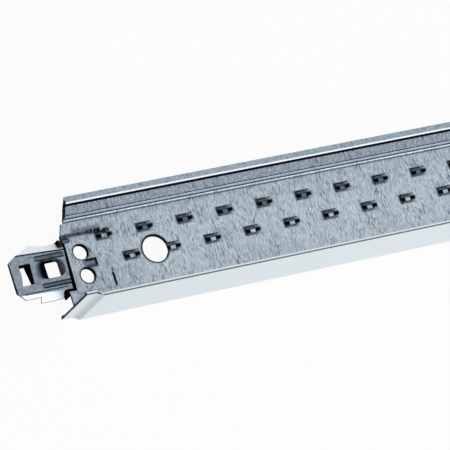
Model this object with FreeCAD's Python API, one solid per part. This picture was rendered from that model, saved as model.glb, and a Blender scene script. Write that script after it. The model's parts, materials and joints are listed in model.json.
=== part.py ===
import FreeCAD, Part
import math
import os

# Cross tee of an exposed ceiling grid, with the sizes of a 600 mm module.
# It is drawn upright: X runs along it, Y from the near side to the far side, Z up from the visible
# face. The finished pieces are then laid on their side, as a loose tee rests on a floor.

# Grid sizes
module = 600.0            # between the centres of the two main tees that carry it
main_face = 24.0          # width of a main tee's face, which the stepped ends lie over
step_clearance = 0.2      # from the full flange to the edge of the main tee's face
web_setback = 9.0         # from the main tee's centre to the square end of the web
flange_overhang = 2.6     # of the flange past the web's square end
tongue_length = 20.45     # of the clip past the web's square end
end_lean = 0.7            # by which the web's square end leans in towards its top

# Section of the tee
tee_height = 38.0
face_width = 24.0
body_steel = 0.4
layer_gap = 0.1           # between the two layers of the web
body_bend = 0.3           # radius of the middle of the sheet at a bend

# Bulb along the top of the tee
bulb_width = 5.6          # across its two upright sides
bulb_roof_rise = 3.1      # from the eaves to the ridge
bulb_side_height = 4.1
eave_lip = 0.55           # of each eave past the side below it
eave_drop = 0.38          # of the eave's underside
bulb_foot_drop = 0.5      # of the slope that leads in from the bulb's sides
neck_width = 3.0          # outside, where that slope ends
neck_step = 0.5           # height of the steeper stretch below it
neck_taper = 0.2          # by which each side comes in over that stretch
neck_drop = 0.65          # of the last slope, which leads into the web

# Cap over the flange
cap_steel = 0.35
hem_width = 1.9           # of the edge that is folded back over the flange
hem_room = 0.3            # from the flange's edge to the inside of the fold

# Stepped ends of the flange
step_rise = 1.2
step_ramp = 2.2           # along the tee, from full flange to raised flange
foot_height = 5.3         # of the strip of web that is raised with the flange

# Slanted ends of the web and bulb
slant_start = 24.6        # height where the square end turns into the slant
slant_run = 5.0           # along the tee, from there up to the ridge
bulb_setback = 0.9        # of the bulb's end from the slant, at the middle
bulb_skew = 0.25          # of the bulb's end, for each millimetre across

# Stitches through both layers of the web
stitch_pitch = 15.0       # nearly: a whole number of pitches fits between the two ends
stitch_first = 7.5        # from the web's end to the middle of the lower row's first stitch
stitch_low = 14.5
stitch_high = 22.95
stitch_length = 6.2
stitch_height = 3.3
stitch_ramp = 1.8
stitch_depth = 1.1
slit_width = 0.1
band_margin = 1.0         # of the band that the stitches press together, past stitches and holes

# First stitch of the lower row, which locks the clip
lock_length = 4.8
lock_height = 2.3
lock_ramp = 1.4
lock_depth = 0.35

# Holes in the web
hanger_radius = 4.5
hanger_from_end = 31.25
hanger_height = 14.85
pilot_radius = 2.5
pilot_from_end = 5.2
pilot_low = 10.6
pilot_high = 18.65
relief_radius = 0.9       # of the rounded slot at the pad's upper corner
relief_from_end = 1.85
relief_height = 23.3

# Clip: the shank that sits between the web's layers
clip_steel = 0.5
shank_low = 5.6
shank_high = 24.5
shank_length = 14.2
notch_gap = 0.4           # from the pad's rim to the first stitch of the upper row
pocket_room = 0.1         # round the shank's edges
pad_rim = 0.7             # sloping rim of the web round the shank
shoulder_high = 23.9      # top of the plate where it shows past the web's end, above the tongue
shoulder_length = 0.95
shoulder_low = 6.7        # bottom of the plate where it shows past the web's end, below the tongue

# Clip: the tongue
tongue_low = 8.5          # at the tip; both folds come down a little towards the web
tongue_high = 21.9
tongue_drop = 0.8
tongue_root_low = 7.6
tongue_root_high = 21.3
nose_low = 9.3            # ends of the tip's nearly upright edge
nose_high = 19.8
nose_lean = 0.2           # by which that edge leans back towards its top
nose_slope = 3.5          # along the tongue, from the tip to its top edge
nose_corner_high = 21.8
margin_tilt = 35.0        # degrees that the margins lean back
margin_reach = 4.6        # more than the width of any of them
margin_high = 23.7        # heights of their edges
margin_low = 5.35
margin_low_front = 7.0
margin_front_end = 17.55  # these places are measured from the web's end
margin_step = 12.2
margin_low_end = 4.4
margin_high_end = 1.2
barb_high = 24.9
barb_place = 10.3
barb_back = 3.5

# Clip: window, dish, ribs and ears
window_start = 12.4
window_width = 4.7
window_low = 11.4
window_high = 18.95
window_lean = 0.5         # by which the window leans back towards its top
window_bulge = 0.4
window_tab_low = 2.4      # reach of the tab behind the window, at its bottom and at its top
window_tab_high = 5.4
window_lip = 3.75
dish_start = 1.2
dish_width = 10.6
dish_low = 12.3
dish_high = 18.55
dish_round = 2.9          # corner radii of the dish's mouth, its floor and the hole in that
dish_floor_round = 0.95
dish_hole_round = 0.6
dish_depth = 2.0
dish_back_slope = 1.1
dish_front_slope = 4.25
dish_side_slope = 0.2
dish_rim = 0.35           # of the dish's floor round its hole
rib_radius = 0.75
rib_proud = 0.4
rib_groove = 0.3
rib_length = 10.5
rib_start = 0.6
rib_low = 10.05
rib_high = 19.4
ear_gap = 0.1             # from the flange's end to the lower ear
ear_depth = 3.8
ear_low = 5.2
top_ear_depth = 3.0
top_ear_high = 24.2

V = FreeCAD.Vector
ACROSS = V(0, 1, 0)
ALONG = V(1, 0, 0)

# Places that follow from the sizes
step_x = module / 2 - main_face / 2 - step_clearance
web_x = module / 2 - web_setback
flange_x = web_x + flange_overhang
layer_middle = (layer_gap + body_steel) / 2
web_side = layer_gap / 2 + body_steel
bulb_side = (bulb_width - body_steel) / 2
eave_side = bulb_side + eave_lip
neck_side = (neck_width - body_steel) / 2
flange_level = cap_steel + body_steel / 2
flange_tip = face_width / 2 - cap_steel - hem_room
hem_bend = (cap_steel + body_steel) / 2
cap_fold = face_width / 2 - cap_steel / 2
pad_side = clip_steel / 2 + body_steel
roof_slope = math.atan2(bulb_roof_rise, eave_side)
ridge = tee_height - body_steel / 2 + body_bend * (1 / math.cos(roof_slope) - 1)
eaves = ridge - bulb_roof_rise
bulb_foot = eaves - bulb_side_height
neck_top = bulb_foot - bulb_foot_drop
neck_foot = neck_top - neck_step
neck = neck_foot - neck_drop
pitch_count = round((2 * web_x - 2 * stitch_first) / stitch_pitch)
pitch = (2 * web_x - 2 * stitch_first) / pitch_count
upper_first = stitch_first + pitch / 2
notch_length = upper_first - stitch_length / 2 - notch_gap - pad_rim
notch_height = stitch_high - stitch_height / 2 - notch_gap - pad_rim
band_low = hanger_height - hanger_radius - band_margin
band_high = stitch_high + stitch_height / 2 + band_margin
same_place = 0.0001       # points nearer than this are one point
corner_steps = 5          # sides of each rounded corner
past_all = 2 * tee_height  # cutters reach this far, past all that they cut


def straight(start, end):
    """Straight edge, or none where two bends meet."""
    return [] if start.isEqual(end, same_place) else [Part.makeLine(start, end)]


def bend_at(before, corner, after, bend):
    """Turn of a path at a corner, and the reach and centre of the bend that rounds it."""
    u, v = (corner - before).normalize(), (after - corner).normalize()
    turn = math.atan2(ALONG.dot(u.cross(v)), u.dot(v))
    reach = bend * math.tan(abs(turn) / 2)
    centre = corner - u * reach + ALONG.cross(u) * math.copysign(bend, turn)
    return turn, reach, centre


def strip_side(path, offset, bend):
    """Edges along one side of a bent strip, at an offset to the left of its middle line."""
    edges = []
    last = path[0] + ALONG.cross((path[1] - path[0]).normalize()) * offset
    for before, corner, after in zip(path, path[1:], path[2:]):
        turn, reach, centre = bend_at(before, corner, after, bend)
        u, v = (corner - before).normalize(), (after - corner).normalize()
        start = corner - u * reach + ALONG.cross(u) * offset
        end = corner + v * reach + ALONG.cross(v) * offset
        radius = bend - math.copysign(1, turn) * offset
        middle = centre + (corner - centre).normalize() * radius
        edges += straight(last, start) + [Part.Arc(start, middle, end).toShape()]
        last = end
    end = path[-1] + ALONG.cross((path[-1] - path[-2]).normalize()) * offset
    return edges + straight(last, end)


def strip_face(path, thickness, bend):
    """Section of a bent strip, from the line of its middle."""
    left = strip_side(path, thickness / 2, bend)
    right = strip_side(path, -thickness / 2, bend)
    start = Part.makeLine(left[0].firstVertex().Point, right[0].firstVertex().Point)
    end = Part.makeLine(left[-1].lastVertex().Point, right[-1].lastVertex().Point)
    return Part.Face(Part.Wire(Part.sortEdges(left + right + [start, end])[0]))


def both_halves(half, middle):
    """A path from the near half's points and those on the middle plane."""
    return half + middle + [V(p.x, -p.y, p.z) for p in reversed(half)]


def front_wire(points, y):
    """Closed outline seen from the near side, at a depth y."""
    corners = [V(x, y, z) for x, z in points]
    return Part.makePolygon(corners + corners[:1])


def rounded(x_start, x_end, low, high, radius):
    """Rectangle with rounded corners, as a polygon whose corners have corner_steps sides each."""
    centres = [(x_end - radius, high - radius), (x_start + radius, high - radius),
               (x_start + radius, low + radius), (x_end - radius, low + radius)]
    turns = [(quarter + step / corner_steps) * math.pi / 2 for quarter in range(len(centres))
             for step in range(corner_steps + 1)]
    return [(x + radius * math.cos(turn), z + radius * math.sin(turn))
            for (x, z), turn in zip([c for c in centres for step in range(corner_steps + 1)], turns)]


def front_prism(points, y_start, y_end):
    """Plate or cutter with an outline seen from the near side."""
    return Part.Face(front_wire(points, y_start)).extrude(ACROSS * (y_end - y_start))


def tapered(outline, y, far_outline, far_y):
    """Solid between two outlines seen from the near side, whose matching sides are parallel."""
    near = [V(x, y, z) for x, z in outline]
    far = [V(x, far_y, z) for x, z in far_outline]
    pairs = list(zip(near, far))
    faces = [Part.Face(Part.makePolygon([a, b, b_far, a_far, a]))
             for (a, a_far), (b, b_far) in zip(pairs, pairs[1:] + pairs[:1])]
    faces += [Part.Face(Part.makePolygon(end + end[:1])) for end in (near, far)]
    return Part.makeSolid(Part.makeShell(faces))


def rectangle(x_start, x_end, low, high):
    return [(x_start, low), (x_end, low), (x_end, high), (x_start, high)]


def block(x_start, x_end, y_start, y_end, low, high):
    return front_prism(rectangle(x_start, x_end, low, high), y_start, y_end)


def drill(x, z, radius):
    """Round cutter across the web."""
    return Part.makeCylinder(radius, face_width, V(x, -face_width / 2, z), ACROSS)


def far_end(shape):
    """The same feature at the tee's other end."""
    return shape.mirror(V(0, 0, 0), ALONG)


def at_both_ends(shape):
    return [shape, far_end(shape)]


def stepped(face):
    """A section carried along the whole tee, sloping up and then level again at each end."""
    start = face.translated(V(-step_x, 0, 0))
    return start.extrude(ALONG * 2 * step_x).fuse(at_both_ends(stepped_end(start)))


def stepped_end(start):
    """The sloping run and the raised run of a section that starts at the full flange's end."""
    rise = V(-step_ramp, 0, step_rise)
    level = -ALONG * (flange_x - step_x - step_ramp)
    return start.extrude(rise).fuse(start.translated(rise).extrude(level))


def outside_web(shape):
    """What is left of a shape past the web's left end, when the rest is cut off."""
    return shape.common(block(-past_all - web_x, -web_x, -past_all, past_all, -past_all, past_all))


def foot_faces():
    """Sections of the two flange halves, each with its strip of web."""
    tip = V(0, -flange_tip, flange_level)
    corner = V(0, -layer_middle, flange_level)
    top = V(0, -layer_middle, foot_height)
    near = strip_face([tip, corner, top], body_steel, body_bend)
    return [near, near.mirror(V(0, 0, 0), ACROSS)]


def eave_path():
    """The near side's path round the eave: bulb side, underside of the eave, roof."""
    return [V(0, -bulb_side, eaves - eave_drop), V(0, -eave_side, eaves), V(0, 0, ridge)]


def body_section():
    """Flange, web, hollow bulb with overhanging eaves, web and flange again: one bent strip."""
    half = [V(0, -flange_tip, flange_level), V(0, -layer_middle, flange_level),
            V(0, -layer_middle, neck), V(0, neck_taper - neck_side, neck_foot),
            V(0, -neck_side, neck_top), V(0, -bulb_side, bulb_foot)] + eave_path()[:-1]
    return strip_face(both_halves(half, [V(0, 0, ridge)]), body_steel, body_bend)


def slanted(height):
    """Place along the tee of the left end's slant at a height."""
    return -web_x + slant_run * (height - slant_start) / (tee_height - slant_start)


def end_outline(low, setback):
    """Outline of what is cut off at the left end above a height."""
    far = -web_x - past_all
    return [(slanted(low) + setback, low), (slanted(past_all) + setback, past_all),
            (far, past_all), (far, low)]


def end_cutters():
    """What is cut off one end: past the slant, past the bulb's skewed end and under the web's foot."""
    slant = front_prism(end_outline(slant_start, 0), -past_all, past_all)
    start = front_wire(end_outline(neck, bulb_setback - bulb_skew * past_all), -past_all)
    bulb_end = Part.Face(start).extrude(V(bulb_skew, 1, 0) * 2 * past_all)
    foot = block(-web_x - past_all, -step_x, -past_all, past_all, -past_all, foot_height)
    return [slant, bulb_end, foot]


def rolled_body():
    """The strip along the whole tee, with slanted ends and a flange that steps up at each end."""
    body = body_section().translated(V(-web_x, 0, 0)).extrude(ALONG * 2 * web_x)
    band = block(-web_x, web_x, -layer_gap / 2, layer_gap / 2, band_low, band_high)
    cutters = [both for cutter in end_cutters() for both in at_both_ends(cutter)]
    body = body.fuse(band).cut(cutters)
    feet = [stepped_end(face.translated(V(-step_x, 0, 0))) for face in foot_faces()]
    return body.fuse([end for foot in feet for end in at_both_ends(foot)])


def shank_outline(grow):
    """The shank seen from the near side, grown on all sides; it runs out past the web's end.
    Its upper inner corner is notched, clear of the first stitch of the upper row."""
    inner, notch = -web_x + shank_length + grow, -web_x + notch_length + grow
    low, high, level = shank_low - grow, shank_high + grow, notch_height + grow
    outer = -web_x - tongue_length
    return [(outer, low), (inner, low), (inner, level), (notch, level), (notch, high), (outer, high)]


def pad():
    """Where the web's layers part to hold the shank: a raised panel with a sloping rim."""
    rim = front_wire(shank_outline(pad_rim), web_side)
    top = front_wire(shank_outline(0), pad_side)
    far = Part.makeLoft([rim, top], True, True)
    near = far.mirror(V(0, 0, 0), ACROSS)
    panel = front_prism(shank_outline(pad_rim), -web_side, web_side).fuse([near, far])
    return panel.cut(outside_web(panel))


def pocket():
    """Room for the shank between the layers."""
    return front_prism(shank_outline(pocket_room), -clip_steel / 2, clip_steel / 2)


def stitch(place, size, ramp, side, depth):
    """Strip between two slits, pushed to the far side, for a wall whose faces are at +-side."""
    (x, z), (length, height) = place, size
    start, end, low = x - length / 2, x + length / 2, z - height / 2 + slit_width
    near = [(start, -side), (start + ramp, depth - side), (end - ramp, depth - side), (end, -side)]
    far = [(x_place, y + 2 * side) for x_place, y in reversed(near)]
    corners = [V(x_place, y, low) for x_place, y in near + far]
    outline = Part.Face(Part.makePolygon(corners + corners[:1]))
    return outline.extrude(V(0, 0, height - 2 * slit_width))


def stitch_window(place, size):
    """The opening that a stitch's strip is cut from."""
    (x, z), (length, height) = place, size
    return block(x - length / 2, x + length / 2, -face_width, face_width, z - height / 2, z + height / 2)


def stitch_places():
    """Middles of the ordinary stitches of both rows, which are staggered by half a pitch."""
    low = [(-web_x + stitch_first + pitch * i, stitch_low) for i in range(1, pitch_count)]
    high = [(-web_x + upper_first + pitch * i, stitch_high) for i in range(pitch_count)]
    return low + high


def lock_window():
    return stitch_window((-web_x + stitch_first, stitch_low), (lock_length, lock_height))


def pilot_holes():
    return [drill(-web_x + pilot_from_end, z, pilot_radius) for z in (pilot_low, pilot_high)]


def relief():
    """Relief slot with a round end at the pad's upper corner."""
    end, low, high = -web_x + relief_from_end, relief_height - relief_radius, relief_height + relief_radius
    return [block(-web_x, end, -face_width, face_width, low, high),
            drill(end, relief_height, relief_radius)]


def end_wedge():
    """What the square end's lean takes off the web, from its foot up to the relief slot."""
    low, high = foot_height + step_rise, relief_height
    wedge = [(-web_x, low), (-web_x + end_lean, high), (-web_x - end_lean, high), (-web_x - end_lean, low)]
    return front_prism(wedge, -face_width, face_width)


def tee_body():
    """Galvanised strip with its pads, stitches and holes."""
    size = (stitch_length, stitch_height)
    windows = [stitch_window(place, size) for place in stitch_places()]
    strips = [stitch(place, size, stitch_ramp, web_side, stitch_depth) for place in stitch_places()]
    lock = stitch((-web_x + stitch_first, stitch_low), (lock_length, lock_height),
                  lock_ramp, pad_side, lock_depth)
    strips = Part.makeCompound(strips + at_both_ends(lock))
    hanger_x = -web_x + hanger_from_end
    hanger = drill(hanger_x, hanger_height, hanger_radius)
    clear_of_hanger = drill(hanger_x, hanger_height, hanger_radius + stitch_depth / 2)
    cutters = pilot_holes() + relief() + [hanger, end_wedge()]
    body = rolled_body().fuse(at_both_ends(pad())).cut(at_both_ends(pocket()))
    body = body.cut(windows + at_both_ends(lock_window()))
    body = body.fuse(strips.cut(at_both_ends(clear_of_hanger)))
    return body.cut([both for cutter in cutters for both in at_both_ends(cutter)]).removeSplitter()


def face_cap():
    """Painted cap: the visible face, folded back over both edges of the flange."""
    half = [V(0, -cap_fold + hem_width, flange_level + hem_bend),
            V(0, -cap_fold, flange_level + hem_bend), V(0, -cap_fold, cap_steel / 2)]
    return stepped(strip_face(both_halves(half, []), cap_steel, hem_bend)).removeSplitter()


def tongue_outline():
    """The tongue with its margins, seen from the near side."""
    tip = -web_x - tongue_length
    return [(-web_x, tongue_root_low), (-web_x - margin_low_end, tongue_root_low),
            (-web_x - margin_low_end, margin_low), (-web_x - margin_step, margin_low),
            (-web_x - margin_step, margin_low_front), (-web_x - margin_front_end, margin_low_front),
            (tip, nose_low), (tip + nose_lean, nose_high), (tip + nose_slope, nose_corner_high),
            (-web_x - barb_place, barb_high), (-web_x - barb_place + barb_back, margin_high),
            (-web_x - margin_high_end, margin_high), (-web_x - margin_high_end, tongue_root_high),
            (-web_x, tongue_root_high)]


def tongue_blank():
    """Flat tongue with its top and bottom margins leaning back, trimmed to its outline."""
    reach = V(0, math.sin(math.radians(margin_tilt)), math.cos(math.radians(margin_tilt))) * margin_reach
    low, high = V(0, 0, tongue_low), V(0, 0, tongue_high)
    face = strip_face([low + V(0, reach.y, -reach.z), low, high, high + reach], clip_steel, clip_steel)
    formed = face.translated(V(-web_x - tongue_length, 0, 0)).extrude(V(tongue_length, 0, -tongue_drop))
    return formed.common(front_prism(tongue_outline(), -face_width, face_width))


def dish_loft(grow, near, far):
    """Solid between the dish's mouth and its floor."""
    back, front = -web_x - dish_start, -web_x - dish_start - dish_width
    mouth = rounded(front - grow, back + grow, dish_low - grow, dish_high + grow, dish_round + grow)
    floor = rounded(front + dish_front_slope - grow, back - dish_back_slope + grow,
                    dish_low + dish_side_slope - grow, dish_high - dish_side_slope + grow,
                    dish_floor_round + grow)
    return tapered(mouth, near, floor, far)


def dish_hole():
    back, front = -web_x - dish_start, -web_x - dish_start - dish_width
    opening = rounded(front + dish_front_slope + dish_rim, back - dish_back_slope - dish_rim,
                      dish_low + dish_side_slope + dish_rim, dish_high - dish_side_slope - dish_rim,
                      dish_hole_round)
    return front_prism(opening, -face_width, face_width)


def window_corners():
    """Corners of the window from its lower tip corner round to its upper one."""
    back, front = -web_x - window_start, -web_x - window_start - window_width
    return [(front - window_lean, window_low), (back - window_lean, window_low),
            (back, window_high), (front, window_high)]


def window_cutter():
    """Window in the tongue; its front side bows towards the web."""
    corners = [V(x, -face_width, z) for x, z in window_corners()]
    low, high = corners[0], corners[-1]
    bow = Part.Arc(low, (low + high) / 2 + ALONG * window_bulge, high).toShape()
    outline = Part.Wire(Part.makePolygon(corners).Edges + [bow])
    return Part.Face(outline).extrude(ACROSS * 2 * face_width)


def window_walls():
    """The window's own metal, bent back as a tab at its rear edge and a lip at its top."""
    half = clip_steel / 2
    (low_x, low_z), (high_x, high_z), (front_x, front_z) = window_corners()[1:]
    side = [V(low_x, -half, low_z), V(low_x, window_tab_low, low_z),
            V(high_x, window_tab_high, high_z), V(high_x, -half, high_z)]
    tab = Part.Face(Part.makePolygon(side + side[:1])).extrude(-ALONG * clip_steel)
    lip = block(front_x, high_x, -half, window_lip, front_z - clip_steel, front_z)
    return [tab, lip]


def ribs():
    """Two stiffening ribs with round ends, pressed out to the near side."""
    start, end = -web_x - rib_start - rib_length + rib_radius, -web_x - rib_start - rib_radius
    middle = rib_radius - clip_steel / 2 - rib_proud
    near = block(-web_x - tongue_length, -web_x, -face_width, 0, 0, tee_height)
    return [Part.makeCylinder(rib_radius, end - start, V(start, middle, z), ALONG)
            .fuse([Part.makeSphere(rib_radius, V(x, middle, z)) for x in (start, end)]).common(near)
            for z in (rib_low, rib_high)]


def rib_grooves():
    """The ribs' hollows on the far side."""
    start, length = -web_x - rib_start - rib_length + rib_radius, rib_length - 2 * rib_radius
    return [Part.makeCylinder(rib_groove, length, V(start, clip_steel / 2, z), ALONG)
            for z in (rib_low, rib_high)]


def ears():
    """Two stops, bent back below and above the tongue's root."""
    half = clip_steel / 2
    x = -flange_x - ear_gap
    low = block(x - clip_steel, x, -half, ear_depth, ear_low, tongue_root_low + half)
    high_x = -web_x - margin_high_end
    high = block(high_x, high_x + clip_steel, -half, top_ear_depth, tongue_root_high - half, top_ear_high)
    return [low, high]


def shoulders():
    """The plate's own edges where they show past the web's end, above and below the tongue's root."""
    half = clip_steel / 2
    return [block(-web_x - shoulder_length, -web_x, -half, half, tongue_root_high - half, shoulder_high),
            block(-flange_x, -web_x, -half, half, shoulder_low, tongue_root_low + half)]


def shank():
    """Flat plate between the web's layers, with the pilot holes and the slot for the lock."""
    plate = front_prism(shank_outline(0), -clip_steel / 2, clip_steel / 2)
    return plate.cut([outside_web(plate), lock_window()] + pilot_holes())


def end_clip():
    """Steel clip of the left end."""
    half = clip_steel / 2
    clip = tongue_blank().fuse([dish_loft(clip_steel, half, dish_depth + half)])
    clip = clip.cut([dish_loft(0, -half, dish_depth - half), dish_hole(), window_cutter()])
    clip = clip.fuse(window_walls() + ribs() + ears()).cut(rib_grooves())
    return clip.fuse([shank()] + shoulders()).removeSplitter()


def half_turn(shape):
    """The same piece turned about the vertical, for the other end."""
    return shape.rotated(V(0, 0, 0), V(0, 0, 1), 180)


def resting_turn():
    """Degrees from upright to lying on the raised ends' far edge and the bulb's far eave."""
    fold, corner = hem_bend + cap_steel / 2, body_bend + body_steel / 2
    eave = bend_at(*eave_path(), body_bend)[-1]
    reach, rise = cap_fold - hem_bend + eave.y, eave.z - fold - step_rise
    lean = math.atan2(reach, rise) + math.asin((fold - corner) / math.hypot(reach, rise))
    return -90 - math.degrees(lean)


def overall_box(shapes):
    return Part.makeCompound(list(shapes.values())).optimalBoundingBox()


def laid_down(shapes):
    """All pieces turned on their side, with the origin under the middle of their box."""
    turned = {name: shape.rotated(V(0, 0, 0), ALONG, resting_turn()) for name, shape in shapes.items()}
    box = overall_box(turned)
    shift = V(-box.Center.x, -box.Center.y, -box.ZMin)
    return {name: shape.translated(shift) for name, shape in turned.items()}


clip_left = end_clip()
pieces = {
    "tee_body": tee_body(),
    "face_cap": face_cap(),
    "end_clip_left": clip_left,
    "end_clip_right": half_turn(clip_left),
}

os.makedirs("parts", exist_ok=True)
for name, shape in laid_down(pieces).items():
    shape.exportStep("parts/" + name + ".step")
    print(name, shape.ShapeType, len(shape.Solids), shape.isValid(), round(shape.Volume, 1))
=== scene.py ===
# %% [markdown]
# # A ceiling grid cross tee, dressed for its picture
# A cross tee is one strip of galvanised steel, rolled into an upside-down T with a hollow peaked bulb
# along its top, a white steel cap round its flange and a stamped clip in each end.
# The solids hold every size. This notebook gives them their finishes, with painted shade and
# highlights, the light and the camera, and adds bars that close the upper slits of the stitches, in
# place of the shade in them.

# %% Load the frame
import json

import bpy
from mathutils import Matrix, Vector


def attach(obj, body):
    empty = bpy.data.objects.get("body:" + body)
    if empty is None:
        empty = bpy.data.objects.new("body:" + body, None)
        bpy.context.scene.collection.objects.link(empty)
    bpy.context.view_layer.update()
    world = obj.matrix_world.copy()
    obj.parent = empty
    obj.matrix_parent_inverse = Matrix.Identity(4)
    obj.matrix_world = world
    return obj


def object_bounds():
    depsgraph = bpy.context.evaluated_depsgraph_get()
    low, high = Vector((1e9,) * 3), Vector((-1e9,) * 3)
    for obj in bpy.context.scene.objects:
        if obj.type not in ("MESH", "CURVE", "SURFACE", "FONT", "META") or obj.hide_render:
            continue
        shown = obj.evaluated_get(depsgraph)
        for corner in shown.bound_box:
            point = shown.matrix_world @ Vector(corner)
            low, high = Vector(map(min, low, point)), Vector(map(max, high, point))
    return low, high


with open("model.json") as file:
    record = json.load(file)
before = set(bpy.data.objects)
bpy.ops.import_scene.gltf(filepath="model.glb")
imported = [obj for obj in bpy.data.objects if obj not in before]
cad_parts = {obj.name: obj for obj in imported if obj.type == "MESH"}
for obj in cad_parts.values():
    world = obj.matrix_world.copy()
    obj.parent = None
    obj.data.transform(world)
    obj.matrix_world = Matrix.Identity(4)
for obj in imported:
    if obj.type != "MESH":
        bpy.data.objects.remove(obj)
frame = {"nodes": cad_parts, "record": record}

MM = 0.001    # m
cad_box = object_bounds()
print("size in mm:", [round((high - low) / MM, 1) for low, high in zip(*cad_box)])

# %% [markdown]
# ## The tee's own axes
# The tee lies on its side, leaning a little, but its finish follows the rolling direction and the web.
# So patterns and the camera are placed in the tee's own millimetres: x along it, y from the near side
# to the far side, z from the visible face up to the bulb. The lean could be typed in as an angle. Two
# interfaces in the record give the axes instead, so they stay right when the model is laid differently.

# %% From the tee's millimetres to the frame's metres
HANGER_FROM_END = 31.25    # mm from the web's square end to the middle of the hanger hole

mounts = {mount["name"]: mount for mount in frame["record"]["mounts"]}
along = Vector((1, 0, 0))
across = -Vector(mounts["hanger_hole_left"]["axis"])
up = -Vector(mounts["visible_face"]["axis"])
tee_axes = Matrix((along, across, up)).transposed()
face_middle = Vector(mounts["visible_face"]["pos_m"])
web_x = abs(mounts["hanger_hole_left"]["pos_m"][0]) / MM + HANGER_FROM_END
print("the web ends at x = +-", round(web_x, 2), "mm")


def tee_point(x, y, z):
    """A place given in the tee's millimetres, in the frame's metres."""
    return face_middle + tee_axes @ (Vector((x, y, z)) * MM)


# %% [markdown]
# ## Camera
# The picture shows the tee's left end from the near side and from a little below its face, through a
# long lens, from so far away that its edges hardly converge. A camera could be turned by eye until the
# view is close. This one stands where a fit of the tee's corners and stitches to the picture puts it,
# so that every edge falls on its place.

# %% The camera
CAMERA_PLACE = (-509.40, -1067.86, -283.60)    # mm, x from the web's left end
CAMERA_RIGHT = (0.87242, -0.37545, -0.31294)
CAMERA_DOWN = (-0.17721, 0.35372, -0.91841)
FOCAL_LENGTH, SENSOR_WIDTH = 304.9, 36         # mm

camera_data = bpy.data.cameras.new("camera")
camera_data.lens = FOCAL_LENGTH
camera_data.sensor_width = SENSOR_WIDTH
camera = bpy.data.objects.new("camera", camera_data)
bpy.context.scene.collection.objects.link(camera)
right, down = tee_axes @ Vector(CAMERA_RIGHT), tee_axes @ Vector(CAMERA_DOWN)
back = right.cross(-down)
camera.matrix_world = Matrix((right, -down, back)).transposed().to_4x4()
camera.location = tee_point(CAMERA_PLACE[0] - web_x, *CAMERA_PLACE[1:])
bpy.context.scene.camera = camera
bpy.context.scene.view_settings.view_transform = "Standard"
print("camera at", [round(c, 3) for c in camera.location])

# %% [markdown]
# ## Helpers for materials
# Colours are written as the hex values that a picture shows, and shaders work in linear light, so one
# function turns one into the other. Node graphs could be joined node by node. One small function that
# adds a node with its settings and links lets each material read as a list of steps.

# %% Colour and nodes


def linear(hex_colour, alpha=1.0):
    """A colour from its sRGB hex value."""
    channels = [int(hex_colour[i:i + 2], 16) / 255 for i in (1, 3, 5)]
    return [c / 12.92 if c <= 0.04045 else ((c + 0.055) / 1.055) ** 2.4 for c in channels] + [alpha]


def add_node(tree, kind, inputs=None, output=0, **settings):
    """Adds a node with its settings and inputs, as values or links, and gives one of its outputs."""
    node = tree.nodes.new("ShaderNode" + kind)
    for name, value in settings.items():
        setattr(node, name, value)
    for socket, value in (inputs or {}).items():
        if isinstance(value, bpy.types.NodeSocket):
            tree.links.new(value, node.inputs[socket])
        else:
            node.inputs[socket].default_value = value
    return node.outputs[output]


def new_material(name):
    """An empty material: the material, its node tree and its shader, already joined to the output."""
    material = bpy.data.materials.new(name)
    material.use_nodes = True
    tree = material.node_tree
    return material, tree, tree.nodes["Principled BSDF"]


print("half-bright grey in linear light:", round(linear("#808080")[0], 3))

# %% [markdown]
# ## Where a mark lies
# Marks could be painted on an unwrapped image. Here they are laid by their real place, so they keep
# their size and stay sharp. One place is counted along the whole tee. The other is counted from the
# nearer end inwards, and from the web's middle outwards, so that both ends and both sides get the
# same marks.

# %% Places in the tee's millimetres


def tee_places(tree):
    """The surface's place in the tee's millimetres, and the same counted from the nearer end."""
    turned_back = tee_axes.transposed()
    place = add_node(tree, "Mapping", {
        "Vector": add_node(tree, "TexCoord", output="Object"),
        "Location": -(turned_back @ face_middle) / MM,
        "Rotation": turned_back.to_euler(),
        "Scale": (1 / MM, 1 / MM, 1 / MM),
    })
    unsigned = add_node(tree, "VectorMath", {0: place}, operation="ABSOLUTE")
    from_end = add_node(tree, "VectorMath", {0: unsigned, 1: (-1, 1, 1), 2: (web_x, 0, 0)},
                        operation="MULTIPLY_ADD")
    return place, from_end


# %% [markdown]
# ## Masks
# Shade in the folds and highlights on the ridges are painted into the colour. Each such painted
# mark is a mask: 1 where it lies and 0 elsewhere. A patch is a soft box in real millimetres, and a
# ring goes round a hole. Both fade over a soft margin.

# %% Patch and ring
FAR = 1000.0    # mm, further than the tee reaches


def patch(tree, place, middle, reach, soft):
    """1 inside a box round a middle, fading to 0 over a soft margin outside it."""
    away = add_node(tree, "VectorMath", {0: place, 1: middle}, operation="SUBTRACT")
    away = add_node(tree, "VectorMath", {0: away}, operation="ABSOLUTE")
    away = add_node(tree, "VectorMath", {0: away, 1: reach}, operation="SUBTRACT")
    away = add_node(tree, "VectorMath", {0: away, 1: (0, 0, 0)}, operation="MAXIMUM")
    away = add_node(tree, "VectorMath", {0: away}, "Value", operation="LENGTH")
    return add_node(tree, "MapRange", {"Value": away, "From Min": soft, "From Max": 0.0},
                    interpolation_type="SMOOTHSTEP")


def ring(tree, place, x, z, radius, width):
    """1 at the rim of a round hole across the web, fading to 0 over a width."""
    flat = add_node(tree, "VectorMath", {0: place, 1: (1, 0, 1)}, operation="MULTIPLY")
    away = add_node(tree, "VectorMath", {0: flat, 1: (x, 0, z)}, "Value", operation="DISTANCE")
    return add_node(tree, "MapRange", {"Value": away, "From Min": radius + width, "From Max": radius},
                    interpolation_type="SMOOTHSTEP")
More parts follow.
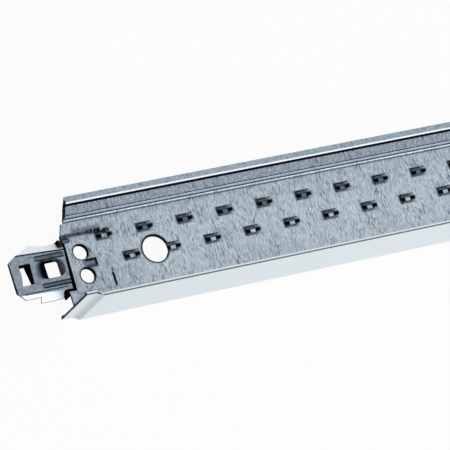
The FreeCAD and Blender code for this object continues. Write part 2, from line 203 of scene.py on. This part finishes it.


# %% [markdown]
# A slope divides space with a slanted plane, and a grain is noise of a real size. Facing finds cut
# edges and folded margins by the way they point, with no need to pick faces. A crease is found by how
# little of the sky a place sees, and shade is painted into the colour there.

# %% Slope, grain, facing and crease
CREASE_REACH = 1.2                         # mm
CREASE_FULL, CREASE_CLEAR = 0.35, 0.9      # shares of open sky where the painted shade is full, and where it ends
CREASE_RAYS = 8


def slope(tree, place, direction, start, end):
    """0 where a place's measure along a direction is at the start, and 1 where it is at the end."""
    measure = add_node(tree, "VectorMath", {0: place, 1: direction}, "Value", operation="DOT_PRODUCT")
    return add_node(tree, "MapRange", {"Value": measure, "From Min": start, "From Max": end},
                    interpolation_type="SMOOTHSTEP")


def grain(tree, place, size, start, full, detail=1.0):
    """Noise with grains of a real size in mm, from 0 at its starting level to 1 at its full one."""
    scaled = add_node(tree, "VectorMath", {0: place, 1: size}, operation="DIVIDE")
    level = add_node(tree, "TexNoise", {"Vector": scaled, "Scale": 1.0, "Detail": detail})
    return add_node(tree, "MapRange", {"Value": level, "From Min": start, "From Max": full})


def facing(tree, direction, least, most):
    """1 where the surface faces along a direction, either way, by a share from the least to the most."""
    normal = add_node(tree, "NewGeometry", output="True Normal")
    share = add_node(tree, "VectorMath", {0: normal, 1: direction}, "Value", operation="DOT_PRODUCT")
    share = add_node(tree, "Math", {0: share}, operation="ABSOLUTE")
    return add_node(tree, "Math", {0: share, 1: (least + most) / 2, 2: (most - least) / 2},
                    operation="COMPARE")


def crease_shade(tree):
    """1 deep in a fold, slit or corner, where shade is painted, and 0 on open surfaces."""
    open_sky = add_node(tree, "AmbientOcclusion", {"Distance": CREASE_REACH * MM}, "AO",
                        samples=CREASE_RAYS)
    return add_node(tree, "MapRange", {"Value": open_sky, "From Min": CREASE_CLEAR,
                                       "From Max": CREASE_FULL})


# %% [markdown]
# Masks are joined before a finish is laid, like stencils: where any of them is open, or only where all
# of them are. Each finish is then laid over the last one, the painted shade and highlights on top of the
# metal.

# %% Joining masks and laying a finish
COLOUR_UNDER, COLOUR_OVER, MIXED_COLOUR = 6, 7, 2    # sockets of the mix node that carry colours


def where_any(tree, masks):
    """One mask from several: 1 where any of them is. A plain number is the least that it can be."""
    found = masks[0]
    for mask in masks[1:]:
        found = add_node(tree, "Math", {0: found, 1: mask}, operation="MAXIMUM")
    return found


def where_all(tree, masks):
    """One mask from several: 1 only where all of them are. A plain number thins it all over."""
    found = masks[0]
    for mask in masks[1:]:
        found = add_node(tree, "Math", {0: found, 1: mask}, operation="MULTIPLY")
    return found


def outside(tree, mask, share=1.0):
    """The opposite of a mask, or of a share of it."""
    return add_node(tree, "MapRange", {"Value": mask, "To Min": 1.0, "To Max": 1.0 - share})


def lay(tree, under, over, mask):
    """A finish laid over another one where the mask is."""
    return add_node(tree, "Mix", {0: mask, COLOUR_UNDER: under, COLOUR_OVER: over}, MIXED_COLOUR,
                    data_type="RGBA")


def patches(tree, place, marks):
    """One mask from a list of patches, each with its middle, reach, soft margin and share."""
    return where_any(tree, [where_all(tree, [patch(tree, place, middle, reach, soft), share])
                            for middle, reach, soft, share in marks])


# %% [markdown]
# ## Galvanised steel
# Hot-dip zinc that was rolled and skin-passed: pale blue-grey and fairly dull, with short fine dark
# streaks across the strip, in loose clusters. One noise could give a mottled metal. Streaks, speckles,
# clusters and clouds of their own sizes give the eye the fine grain from near and the slow change of
# tone from afar.

# %% The zinc's colours and grains
ZINC_DARK, ZINC, ZINC_LIGHT = linear("#536070"), linear("#B2C0CA"), linear("#DEE6EC")
DARKER_ZINC = linear("#8592A0")             # darker zinc: on the bulb's side and roof, in clouds, and towards the web's end and the bulb
# Grains: their size in mm, and the noise levels where they start and where they are full.
STREAK_SIZE = (0.4, 2.0, 2.0)          # as coarse as it needs to be to show
STREAKS = (STREAK_SIZE, 0.52, 0.28)
SPECKLES, SPECKLE_SHARE = ((0.36, 0.9, 0.9), 0.48, 0.75), 0.6
CLUSTERS = ((4.0, 7.0, 7.0), 0.35, 0.65)
STREAKS_BETWEEN_CLUSTERS = 0.35        # share of the streaks that is left there
CLOUDS, CLOUD_SHARE = ((14.0, 20.0, 20.0), 0.6, 0.35), 0.25
TOWARDS_END, END_SHARE = ((1, 0, 0), 45, 5), 0.5       # mm from the web's end, duller towards it
TOWARDS_BULB, BULB_SHARE = ((0, 0, 1), 13, 27), 0.3    # mm up the web, duller towards the bulb
BULB_SIDE = ((0, 0, 32.5), (FAR, FAR, 1.75), 0.2, 0.95)
BULB_ROOF = ((0, 0, 37.0), (FAR, FAR, 1.3), 0.3, 0.3)


def bare_zinc(tree, place, from_end):
    """The zinc's colour, darker in places, and its dark streaks as a mask."""
    clusters = add_node(tree, "MapRange", {"Value": grain(tree, place, *CLUSTERS),
                                           "To Min": STREAKS_BETWEEN_CLUSTERS, "To Max": 1.0})
    streaks = where_all(tree, [grain(tree, place, *STREAKS), clusters])
    clouds = grain(tree, place, *CLOUDS)
    speckles = grain(tree, place, *SPECKLES)
    darker_places = [patches(tree, place, [BULB_SIDE, BULB_ROOF]), where_all(tree, [clouds, CLOUD_SHARE]),
              where_all(tree, [slope(tree, from_end, *TOWARDS_END), END_SHARE]),
              where_all(tree, [slope(tree, place, *TOWARDS_BULB), BULB_SHARE])]
    colour = lay(tree, ZINC, DARKER_ZINC, where_any(tree, darker_places))
    colour = lay(tree, colour, ZINC_LIGHT, where_all(tree, [speckles, SPECKLE_SHARE]))
    return lay(tree, colour, ZINC_DARK, streaks), streaks


# %% [markdown]
# Highlights on the bulb's bends, and shade in its folds and under its eave, are painted into the colour
# in thin lines along the whole tee. They follow from the section, so each is a height with a half width.

# %% Lines along the section
# The colour of the painted highlights.
PAINTED_HIGHLIGHT = linear("#FFFFFF")
PAINTED_SHADE = linear("#0A121B")               # painted shade: in folds, slits and recesses, under the eave and behind the clip
# Heights of the lines: middle and half width in mm, and how strong each is.
SHADE_LINES = ((34.25, 0.3, 0.98), (30.82, 0.1, 0.8), (30.05, 0.08, 0.8), (29.25, 0.05, 0.5))
HIGHLIGHT_LINES = ((34.99, 0.2, 0.9), (30.38, 0.12, 0.6), (29.63, 0.08, 0.12))
LINE_SOFT = 0.16                       # mm


def lines(tree, place, heights):
    """Thin lines along the whole section."""
    return patches(tree, place, [((0, 0, middle), (FAR, FAR, half), LINE_SOFT, share)
                                 for middle, half, share in heights])


print("lines along the section:", len(SHADE_LINES), "dark and", len(HIGHLIGHT_LINES), "bright")

# %% [markdown]
# ## Painted shade at the marks of the press
# Every stitch is a strip between two slits, pushed out by a punch. Black shade is painted on the two
# ramps and grey shade round them, and it is left off the strip's middle, in the upper row only half.
# The marks could be copied stitch by stitch. Wrapping the place once every pitch lays them on
# all the stitches with one set of nodes for each row.

# %% Stitches
STITCH_FIRST, STITCH_PITCHES = 7.5, 38     # mm from the web's end to the first, and pitches between ends
PITCH = (2 * web_x - 2 * STITCH_FIRST) / STITCH_PITCHES
LOW_ROW, HIGH_ROW = 14.5, 22.95            # mm up to the stitches' middles
HIGH_FIRST = STITCH_FIRST + PITCH / 2      # the rows are staggered
ROWS = ((STITCH_FIRST, LOW_ROW, 1.0), (HIGH_FIRST, HIGH_ROW, 0.5))    # the last is the share by which the painted shade is left off the strip's middle
ROWS_START = 11.2                          # mm from the web's end, past the lock
PAST_LOCK = ((FAR / 2 + ROWS_START, 0, 0), (FAR / 2, FAR, FAR), 0.1)
# Painted grey shade round the stitches and the lock.
SOFT_SHADE = linear("#4C5B69")
STITCH_HALO_SHADE = ((-0.35, 0, 0.0), (2.0, FAR, 0.8), 1.5, 0.92)
RAMP_SHADE = ((0.25, 0, 0.1), (2.5, FAR, 0.25), 1.0, 1.0)
UNSHADED_MIDDLE = ((0.75, 0, 0.05), (0.7, FAR, 0.42), 0.35)
FIRST_UNSHADED_MIDDLE = ((HIGH_FIRST + 0.75, 0, 23.0), (0.7, FAR, 0.42), 0.35)


def stitch_cells(tree, place):
    """For each row, the share of painted shade left off the middles, and the place from the nearest
    middle.
    """
    for first, height, unshaded in ROWS:
        moved = add_node(tree, "VectorMath", {0: place, 1: (first - web_x, 0, height)},
                         operation="SUBTRACT")
        yield unshaded, add_node(tree, "VectorMath", {0: moved, 1: (PITCH / 2, FAR, FAR),
                                                   2: (-PITCH / 2, -FAR, -FAR)}, operation="WRAP")


def stitch_marks(tree, place, from_end):
    """The painted shade round the stitches and on their ramps, in both rows."""
    past_lock = patch(tree, from_end, *PAST_LOCK)
    not_first_middle = outside(tree, patch(tree, from_end, *FIRST_UNSHADED_MIDDLE))
    halo_shades, ramp_shades = [], []
    for unshaded, cell in stitch_cells(tree, place):
        left = where_all(tree, [outside(tree, patch(tree, cell, *UNSHADED_MIDDLE), unshaded), not_first_middle, past_lock])
        halo_shades.append(where_all(tree, [patches(tree, cell, [STITCH_HALO_SHADE]), left]))
        ramp_shades.append(where_all(tree, [patches(tree, cell, [RAMP_SHADE]), left]))
    return where_any(tree, halo_shades), where_any(tree, ramp_shades)


print("pitch of the stitches:", round(PITCH, 3), "mm")

# %% [markdown]
# Each end has painted shade of its own: grey round the lock next to the pilot holes and black at its
# edges, black along the pad's rims, and on the rim of every hole. They
# are few and all different, so they are plain lists of patches.

# %% Lock, pad and holes
LOCK_PLACE = (STITCH_FIRST, 0, LOW_ROW)
LOCK_HALO_SHADE = ((-0.2, 0, 0.0), (2.2, FAR, 1.1), 0.6, 0.7)
LOCK_SHADE = (((0.5, 0, 1.2), (1.7, FAR, 0.15), 0.6, 0.88),
              ((2.0, 0, 0.1), (0.15, FAR, 0.8), 0.5, 0.95),
              ((0.0, 0, -1.3), (1.9, FAR, 0.05), 0.4, 0.8),
              ((0.3, 0, -0.7), (1.7, FAR, 0.1), 0.4, 0.6))
PAD_RIM_SHADE = (((11.8, 0, 24.9), (2.3, FAR, 0.4), 1.2, 0.97),
              ((5.0, 0, 24.8), (5.0, FAR, 0.2), 1.1, 0.9),
              ((9.5, 0, 25.9), (4.5, FAR, 0.1), 1.6, 0.6),
              ((16.3, 0, 24.6), (0.9, FAR, 0.3), 0.8, 0.95))
SHADE_BREAKUP, SHADE_BREAKUP_LEAST = (STREAK_SIZE, 0.35, 0.55), 0.6    # the painted shade on the pad is broken up by noise
PAD_EDGE_SHADE = (((13.95, 0, 7.8), (0.2, FAR, 2.0), 0.5, 1.0),
            ((14.1, 0, 10.5), (0.1, FAR, 0.9), 0.4, 0.75))
# Holes: x and z of the middle, radius, and width of the painted shade on the rim.
HOLES = ((31.2, 14.95, 4.6, 0.9), (5.2, 10.65, 2.55, 0.7), (5.2, 18.7, 2.55, 0.7))


def pad_marks(tree, place, from_end):
    """The painted shade round the lock, and the black painted shade on it, along the pad's rims and
    round the holes.
    """
    lock = add_node(tree, "VectorMath", {0: from_end, 1: LOCK_PLACE}, operation="SUBTRACT")
    broken_up = add_node(tree, "MapRange", {"Value": grain(tree, place, *SHADE_BREAKUP),
                                          "To Min": SHADE_BREAKUP_LEAST, "To Max": 1.0})
    # Painted shade on the lock, the pad's rims and the holes' rims.
    shade_mask = [patches(tree, lock, LOCK_SHADE), patches(tree, from_end, PAD_EDGE_SHADE),
            where_all(tree, [patches(tree, from_end, PAD_RIM_SHADE), broken_up])]
    hole_rim_shade = [ring(tree, from_end, *hole) for hole in HOLES]
    return patches(tree, lock, [LOCK_HALO_SHADE]), where_any(tree, shade_mask + hole_rim_shade)


print("marks at each end:", len(LOCK_SHADE + PAD_RIM_SHADE + PAD_EDGE_SHADE), "and", len(HOLES), "hole_rim_shade")

# %% [markdown]
# The material lays the marks over the bare zinc, from the broad ones to the fine ones. Cut edges and
# the walls of the web's holes and slits are painted near black as shade. The sheared end of the bulb is
# rolled over, and it is painted black as shade, so that it shows from the side too. Zinc shines white
# at a low angle, but oxide and oil dull that, so the shader's tint for grazing light is a blue-grey.

# %% Galvanised steel, skin-passed
CUT_EDGE_SHADE = linear("#101317")                            # bare cut steel, painted near black as the shade on cut edges
GRAZING = linear("#B3C4D2")
WEB = ((0, 0, 17.0), (FAR, FAR, 11.5), 0.2)            # the flat web
# Shares by which a surface faces across the web, or along the tee, where it is a cut edge.
EDGE_OF_WEB, END_OF_TEE = (0.0, 0.8), (0.7, 1.1)
PAST_BULB_END = ((1.0, 0.25, -0.373), -7.58, -7.98)    # a plane along the bulb's slanted end, past which the bulb is painted in shade
BULB_HEIGHT = ((0, 0, 33.0), (FAR, FAR, 2.4), 1.5)
CREASE_SHADE_UNDER_HALOS = 0.6                                 # share of the creases' painted shade that the stitches' painted shade takes away


def galvanised_steel():
    """Zinc-coated strip: blue-grey, finely streaked, with painted highlights and shade on its bends,
    folds and press marks.
    """
    material, tree, shader = new_material("galvanised_steel_skin_passed")
    place, from_end = tee_places(tree)
    colour, streaks = bare_zinc(tree, place, from_end)
    # Painted highlights along the bulb's bends.
    colour = lay(tree, colour, PAINTED_HIGHLIGHT, lines(tree, place, HIGHLIGHT_LINES))
    stitch_halo_shade, stitch_ramp_shade = stitch_marks(tree, place, from_end)
    lock_halo_shade, pad_film = pad_marks(tree, place, from_end)
    # Cut edges, and the walls of the web's holes and slits, are painted near black as shade.
    web_edge = where_all(tree, [patch(tree, place, *WEB), facing(tree, across, *EDGE_OF_WEB)])
    cut = where_any(tree, [web_edge, facing(tree, along, *END_OF_TEE)])
    colour = lay(tree, colour, CUT_EDGE_SHADE, cut)
    # Painted grey shade round the stitches and the lock.
    colour = lay(tree, colour, SOFT_SHADE, where_any(tree, [stitch_halo_shade, lock_halo_shade]))
    # The bulb near its slanted end is painted in shade.
    bulb_end_shade = where_all(tree, [slope(tree, from_end, *PAST_BULB_END),
                                patch(tree, place, *BULB_HEIGHT)])
    # Painted shade in the creases, with less of it where the stitches' painted shade lies.
    shade_in_creases = where_all(tree, [crease_shade(tree), outside(tree, stitch_halo_shade, CREASE_SHADE_UNDER_HALOS)])
    # Painted shade: lines under the eave and along the foot, the stitches' ramps, lock, pad and hole
    # rims, the bulb's end and creases.
    shade_mask = where_any(tree, [lines(tree, place, SHADE_LINES), stitch_ramp_shade, pad_film, bulb_end_shade, shade_in_creases])
    colour = lay(tree, colour, PAINTED_SHADE, shade_mask)
    tree.links.new(colour, shader.inputs["Base Color"])
    shader.inputs["Metallic"].default_value = 1.0
    shader.inputs["Specular Tint"].default_value = GRAZING
    rough = add_node(tree, "MapRange", {"Value": streaks, "To Min": 0.38, "To Max": 0.52})
    tree.links.new(where_any(tree, [rough, shade_mask, cut]), shader.inputs["Roughness"])
    bump = add_node(tree, "Bump", {"Height": streaks, "Strength": 0.25, "Distance": 0.05 * MM},
                    invert=True)
    tree.links.new(bump, shader.inputs["Normal"])
    return material


finishes = {"galvanised_steel": galvanised_steel()}
print("nodes in the zinc:", len(finishes["galvanised_steel"].node_tree.nodes))

# %% [markdown]
# ## Clip steel
# Spring steel, stamped and then thinly zinc plated: darker than the strip, mottled and finely speckled.
# Its bent margins get painted highlights. Shade is painted along the folds, round the ribs and down in
# the dish, and the metal behind the window and inside the web is painted black as shade.
# It could share the strip's material, but it came from another sheet and another tool, and looks it.

# %% The clip's colours, grains and marks
CLIP_DARK, CLIP, CLIP_LIGHT = linear("#4C5864"), linear("#818D99"), linear("#A9B5C0")
SPECKS, SPECK_SHARE = ((0.35, 0.6, 0.6), 0.3, 0.7), 0.5
MOTTLES, MOTTLE_SHARE = ((1.6, 1.6, 1.6), 0.55, 0.3, 3.0), 0.8    # 3.0 is the noise's detail
# Painted shade on the tongue, counted from the web's end, so x is negative.
RIB_SHADE = [((-5.8, 0, height), (5.0, FAR, 0.4), 0.6, 0.55) for height in (19.4, 10.05)]
RIB_OUTLINE_SHADE = [((-5.8, 0, height), (4.9, FAR, 0.08), 0.3, 0.97)
                for height in (20.15, 18.75, 10.75, 9.5)]
CLIP_EDGE_SHADE = (((-20.3, 0, 14.2), (0.15, FAR, 5.0), 0.4, 1.0),
              ((-10.2, 0, 8.6), (7.5, FAR, 0.05), 0.3, 0.8))
WINDOW_BACK = ((-14.7, 5.4, 15.0), (3.4, 4.9, 4.6), 0.2, 1.0)     # the metal bent back behind the window, painted in shade
# Below and above the tongue, where the plate shows beside the web's end, painted in shade.
SHOULDERS = (((0, 0, 0), (4.2, FAR, 7.5), 0.1, 1.0), ((-0.7, 0, 30.0), (0.8, FAR, 8.2), 0.4, 0.9))
CLIP_SHADE = (*RIB_SHADE, *RIB_OUTLINE_SHADE, *CLIP_EDGE_SHADE, WINDOW_BACK, *SHOULDERS)
print("marks on each clip:", len(CLIP_SHADE))

# %% [markdown]
# The folded margins are found by the way they face, and the fold's dark line of painted shade lies
# between two slopes that follow it down to the web. The dish is painted in shade, darker the deeper it
# goes, except at its right, where the light comes in.

# %% The clip's margins, fold and dish, and what lies inside the web
# Painted highlights on the bent margins, brighter on the top one.
MARGIN_TOP_HIGHLIGHT, MARGIN_LOW_HIGHLIGHT = linear("#EAEFF3"), linear("#C2CAD1")
MARGIN_LEAN, MARGIN_LEVEL = (0.35, 0.78), (0.0, 0.12)    # shares by which margins face up, and along
ABOVE_TONGUE, BELOW_TONGUE = ((0, 0, 1), 21.0, 21.2), ((0, 0, 1), 8.5, 8.3)    # mm up
ALONG_FOLD = (0.05, 0, 1.0)                # follows the top fold, which comes down towards the web
ABOVE_FOLD_START, BELOW_FOLD_END = (20.48, 20.73), (21.23, 20.88)
DISH = ((-6.5, 0, 15.4), (5.4, FAR, 3.4), 0.3)
DISH_DEPTH = ((0, 1, 0), -0.5, 1.1)
DISH_RIGHT, DISH_RIGHT_SHARE = ((-2.0, 0, 15.4), (2.0, FAR, 3.4), 0.6), 0.3
INSIDE_WEB = ((1.0, 0, -0.083), -1.95, -1.65)    # past this slanted plane the clip is painted black as shade
IN_SLOT, IN_SLOT_SHARE = ((1.6, 0, 23.3), (0.9, FAR, 0.35), 0.6), 0.45    # less painted shade where it is seen in the relief slot
EDGE_OF_CLIP = (0.0, 0.5)                  # shares by which it faces across, where it is a cut edge
CLIP_ROUGHNESS = 0.42


def clip_steel():
    """Plated spring steel: dark and mottled, with painted highlights on its bends and painted shade in
    its folds.
    """
    material, tree, shader = new_material("spring_steel_stamped_zinc_plated")
    place, from_end = tee_places(tree)
    specks = grain(tree, place, *SPECKS)
    mottles = where_all(tree, [grain(tree, place, *MOTTLES), MOTTLE_SHARE])
    colour = lay(tree, CLIP, CLIP_DARK, mottles)
    colour = lay(tree, colour, CLIP_LIGHT, where_all(tree, [specks, SPECK_SHARE]))
    margins = where_all(tree, [facing(tree, up, *MARGIN_LEAN), facing(tree, along, *MARGIN_LEVEL)])
    top = where_all(tree, [margins, slope(tree, place, *ABOVE_TONGUE)])
    low = where_all(tree, [margins, slope(tree, place, *BELOW_TONGUE)])
    # Painted highlights on the margins above and below the tongue.
    colour = lay(tree, lay(tree, colour, MARGIN_TOP_HIGHLIGHT, top), MARGIN_LOW_HIGHLIGHT, low)
    fold_shade = where_all(tree, [slope(tree, from_end, ALONG_FOLD, *ABOVE_FOLD_START),
                            slope(tree, from_end, ALONG_FOLD, *BELOW_FOLD_END)])
    dished = patch(tree, from_end, *DISH)
    less_shade = outside(tree, patch(tree, from_end, *DISH_RIGHT), DISH_RIGHT_SHARE)
    dish_shade = where_all(tree, [dished, slope(tree, place, *DISH_DEPTH), less_shade])
    inside_shade = where_all(tree, [slope(tree, from_end, *INSIDE_WEB),
                              outside(tree, patch(tree, from_end, *IN_SLOT), IN_SLOT_SHARE)])
    # Painted shade: ribs and outlines, edges, behind the window, beside the web's end, fold, dish,
    # inside the web, creases.
    marks = patches(tree, from_end, CLIP_SHADE)
    shade_in_creases = where_all(tree, [crease_shade(tree), less_shade])
    shade_mask = where_any(tree, [marks, fold_shade, dish_shade, inside_shade, shade_in_creases])
    # The clip's cut edges are painted near black as shade.
    cut = where_all(tree, [facing(tree, across, *EDGE_OF_CLIP),
                           outside(tree, where_any(tree, [top, low, dished]))])
    colour = lay(tree, lay(tree, colour, PAINTED_SHADE, shade_mask), CUT_EDGE_SHADE, cut)
    tree.links.new(colour, shader.inputs["Base Color"])
    shader.inputs["Metallic"].default_value = 1.0
    shader.inputs["Specular Tint"].default_value = GRAZING
    tree.links.new(where_any(tree, [shade_mask, cut, CLIP_ROUGHNESS]), shader.inputs["Roughness"])
    bump = add_node(tree, "Bump", {"Height": specks, "Strength": 0.2, "Distance": 0.03 * MM})
    tree.links.new(bump, shader.inputs["Normal"])
    return material


finishes["clip_steel"] = clip_steel()
print("nodes in the clip's steel:", len(finishes["clip_steel"].node_tree.nodes))

# %% [markdown]
# ## White coil coating
# The cap's steel is painted in the coil, before it is folded: an even satin white with a faint
# orange-peel ripple. Grey shade is painted at the corner of each fold and on the slope where the end
# steps up, and a highlight on the fold's back, which is made half metallic so that it mirrors the
# white sky. The fold steps up with the tee's ends, so its marks are laid on a place that is lowered by
# the step, and not drawn twice.

# %% White coil coating
# Painted highlight on the fold's back, and painted grey shade at its corner and on the step.
PAINT_COOL, PAINT_WARM, PAINT_HIGHLIGHT = linear("#DBE7ED"), linear("#E4EEF3"), linear("#F2FAFF")
PAINT_FOLD_SHADE = linear("#4A545B")
RIPPLES = ((0.9, 0.9, 0.9), 0.3, 0.7)
STEP_UP, STEP_RISE = ((1, 0, 0), 3.2, 1.0), 1.2         # mm from the web's end, and the height
FOLD_BACK_HIGHLIGHT, FOLD_BACK_SHINE = ((0, 12.0, 0.85), (FAR, 0.6, 0.3), 0.1), 0.5
FOLD_CORNER = ((0, 1.0, -1.0), 11.54, 11.62)            # the corner between the fold and the face, painted in grey shade
STEP_SHADE = ((2.8, 0, 0), (0.1, FAR, FAR), 1.5, 0.2)    # painted shade on the slope where the end steps up


def white_paint():
    """Coil coating: an even, satin, slightly blue white, with painted grey shade at the fold's corner
    and a painted highlight on its back.
    """
    material, tree, shader = new_material("white_coil_coated_steel")
    place, from_end = tee_places(tree)
    ripples = grain(tree, place, *RIPPLES)
    rise = slope(tree, from_end, *STEP_UP)
    lowered = add_node(tree, "VectorMath", {0: rise, 1: (0, 0, -STEP_RISE), 2: from_end},
                       operation="MULTIPLY_ADD")
    colour = lay(tree, PAINT_COOL, PAINT_WARM, ripples)
    fold_back_highlight = patch(tree, lowered, *FOLD_BACK_HIGHLIGHT)
    fold_and_step_shade = [slope(tree, lowered, *FOLD_CORNER), patches(tree, from_end, [STEP_SHADE])]
    # Painted highlight on the fold's back, and painted shade at its corner and on the step.
    colour = lay(tree, colour, PAINT_HIGHLIGHT, fold_back_highlight)
    colour = lay(tree, colour, PAINT_FOLD_SHADE, where_any(tree, fold_and_step_shade))
    # The cap's cut end is painted near black as shade.
    colour = lay(tree, colour, CUT_EDGE_SHADE, facing(tree, along, *END_OF_TEE))
    tree.links.new(colour, shader.inputs["Base Color"])
    # The fold's back is made half metallic, so that it mirrors the white sky as a painted highlight.
    tree.links.new(where_all(tree, [fold_back_highlight, FOLD_BACK_SHINE]), shader.inputs["Metallic"])
    shader.inputs["Roughness"].default_value = 0.35
    bump = add_node(tree, "Bump", {"Height": ripples, "Strength": 0.1, "Distance": 0.02 * MM})
    tree.links.new(bump, shader.inputs["Normal"])
    return material


finishes["white_paint"] = white_paint()
print("nodes in the paint:", len(finishes["white_paint"].node_tree.nodes))

# %% [markdown]
# ## Each piece gets its finish
# The record names the material of every piece, so the pieces are dressed from it in one loop.

# %% Finishes on the pieces
for part in frame["record"]["subparts"]:
    node = frame["nodes"][part["node"]]
    node.data.materials.clear()
    node.data.materials.append(finishes[part["material_slot"]])
    print(part["node"], "is", finishes[part["material_slot"]].name)

# %% [markdown]
# ## Bars in the upper slits
# A stitch's strip is torn loose along two slits. A thin bar is put in the upper one, so no light comes
# through and the slit reads dark, in place of the shade in it. It could be painted, but a gap stays a
# gap, so it is modelled: a bar across the slit with its edges bevelled, then an array of it along each
# row.

# %% Bars in the upper slits, one row after the other
SLIT_BAR = (3.4, 0.42, 0.2)    # mm, along the tee, through the web and across the slit
SLIT_BAR_DEPTH = 0.51          # mm from the web's middle to the bar's
SLIT_BAR_UP = 1.6              # mm from the stitch's middle to the bar's
SLIT_BAR_BEVEL = 0.06          # mm


def apply_modifier(piece, name, kind, **settings):
    """Adds a modifier with its settings and applies it."""
    modifier = piece.modifiers.new(name, kind)
    for setting, value in settings.items():
        setattr(modifier, setting, value)
    bpy.ops.object.modifier_apply(modifier=name)


def slit_bar_row(first, height, count):
    """A bar in the upper slit of each stitch of a row, closing it in place of its shade."""
    middle = tee_point(first - web_x, SLIT_BAR_DEPTH, height + SLIT_BAR_UP)
    bpy.ops.object.select_all(action="DESELECT")
    bpy.ops.mesh.primitive_cube_add(size=1, location=middle, rotation=tee_axes.to_euler(),
                                    scale=[side * MM for side in SLIT_BAR])
    row = bpy.context.active_object
    bpy.ops.object.transform_apply(location=True, rotation=True, scale=True)
    apply_modifier(row, "rounded_edges", "BEVEL", width=SLIT_BAR_BEVEL * MM, segments=1,
                   limit_method="NONE")
    apply_modifier(row, "row", "ARRAY", count=count, use_relative_offset=False,
                   use_constant_offset=True, constant_offset_displace=(PITCH * MM, 0, 0))
    row.data.materials.append(finishes["galvanised_steel"])
    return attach(row, "root")


slit_bars_low = slit_bar_row(STITCH_FIRST + PITCH, LOW_ROW, STITCH_PITCHES - 1)
slit_bars_low.name = "stitch_slit_bars_low"
slit_bars_high = slit_bar_row(HIGH_FIRST, HIGH_ROW, STITCH_PITCHES)
slit_bars_high.name = "stitch_slit_bars_high"
print("slit bar faces:", len(slit_bars_low.data.polygons), len(slit_bars_high.data.polygons))

# %% [markdown]
# ## Floor and sky
# The picture's ground is plain white. Brighter lamps would whiten the floor and burn out the paint, so
# the light stays level, and only the rays that show the floor or the sky see them white: camera,
# glossy and transmission rays. The floor keeps a little of its shading, so the tee's shadow shows.

# %% Floor
FLOOR_SIZE = 6.0         # m
FLOOR_WHITE = 0.94       # share of plain white, the rest is its own shading
bpy.ops.object.select_all(action="DESELECT")
bpy.ops.mesh.primitive_plane_add(size=FLOOR_SIZE, location=(0, 0, cad_box[0].z))
floor = bpy.context.active_object
floor.name = "floor"


def seen_white(tree, kind, shader_output, share):
    """Mixes a shader with plain white, of a kind of light node, for the rays that show it."""
    rays = [add_node(tree, "LightPath", output=f"Is {ray} Ray")
            for ray in ("Camera", "Glossy", "Transmission")]
    amount = where_all(tree, [where_any(tree, rays), share])
    white = add_node(tree, kind, {"Color": (1, 1, 1, 1), "Strength": 1.0})
    return add_node(tree, "MixShader", {0: amount, 1: shader_output, 2: white})


floor_material, tree, shader = new_material("floor")
shader.inputs["Base Color"].default_value = linear("#EDEDED")
shader.inputs["Roughness"].default_value = 0.9
tree.links.new(seen_white(tree, "Emission", shader.outputs[0], FLOOR_WHITE),
               tree.nodes["Material Output"].inputs["Surface"])
floor.data.materials.append(floor_material)
print("floor at", round(cad_box[0].z, 4), "m")

# %% Sky
SKY_STRENGTH = 0.5
world = bpy.data.worlds.new("world")
bpy.context.scene.world = world
world.use_nodes = True
tree = world.node_tree
sky = tree.nodes["Background"]
sky.inputs["Color"].default_value = (1, 1, 1, 1)
sky.inputs["Strength"].default_value = SKY_STRENGTH
tree.links.new(seen_white(tree, "Background", sky.outputs[0], 1.0),
               tree.nodes["World Output"].inputs["Surface"])

# %% [markdown]
# ## Light
# The picture was lit by large soft lamps, with hardly a shadow. Several lamps could give that. One
# square softbox, larger than the tee, above its front and right does it with the sky as its fill,
# and it is weak enough that web and paint keep their tone.

# %% Softbox
LAMP_FROM = Vector((0.6, -0.6, 0.5)).normalized()    # seen from the middle of the tee
LAMP_AWAY, LAMP_SIZE = 2.0, 2.6                      # m
LAMP_POWER = 31                                      # W

lamp_data = bpy.data.lights.new("key", "AREA")
lamp_data.size = LAMP_SIZE
lamp_data.energy = LAMP_POWER
lamp = bpy.data.objects.new("key", lamp_data)
bpy.context.scene.collection.objects.link(lamp)
lamp.location = LAMP_FROM * LAMP_AWAY
lamp.rotation_euler = LAMP_FROM.to_track_quat("Z", "Y").to_euler()
print("softbox at", [round(c, 2) for c in lamp.location])
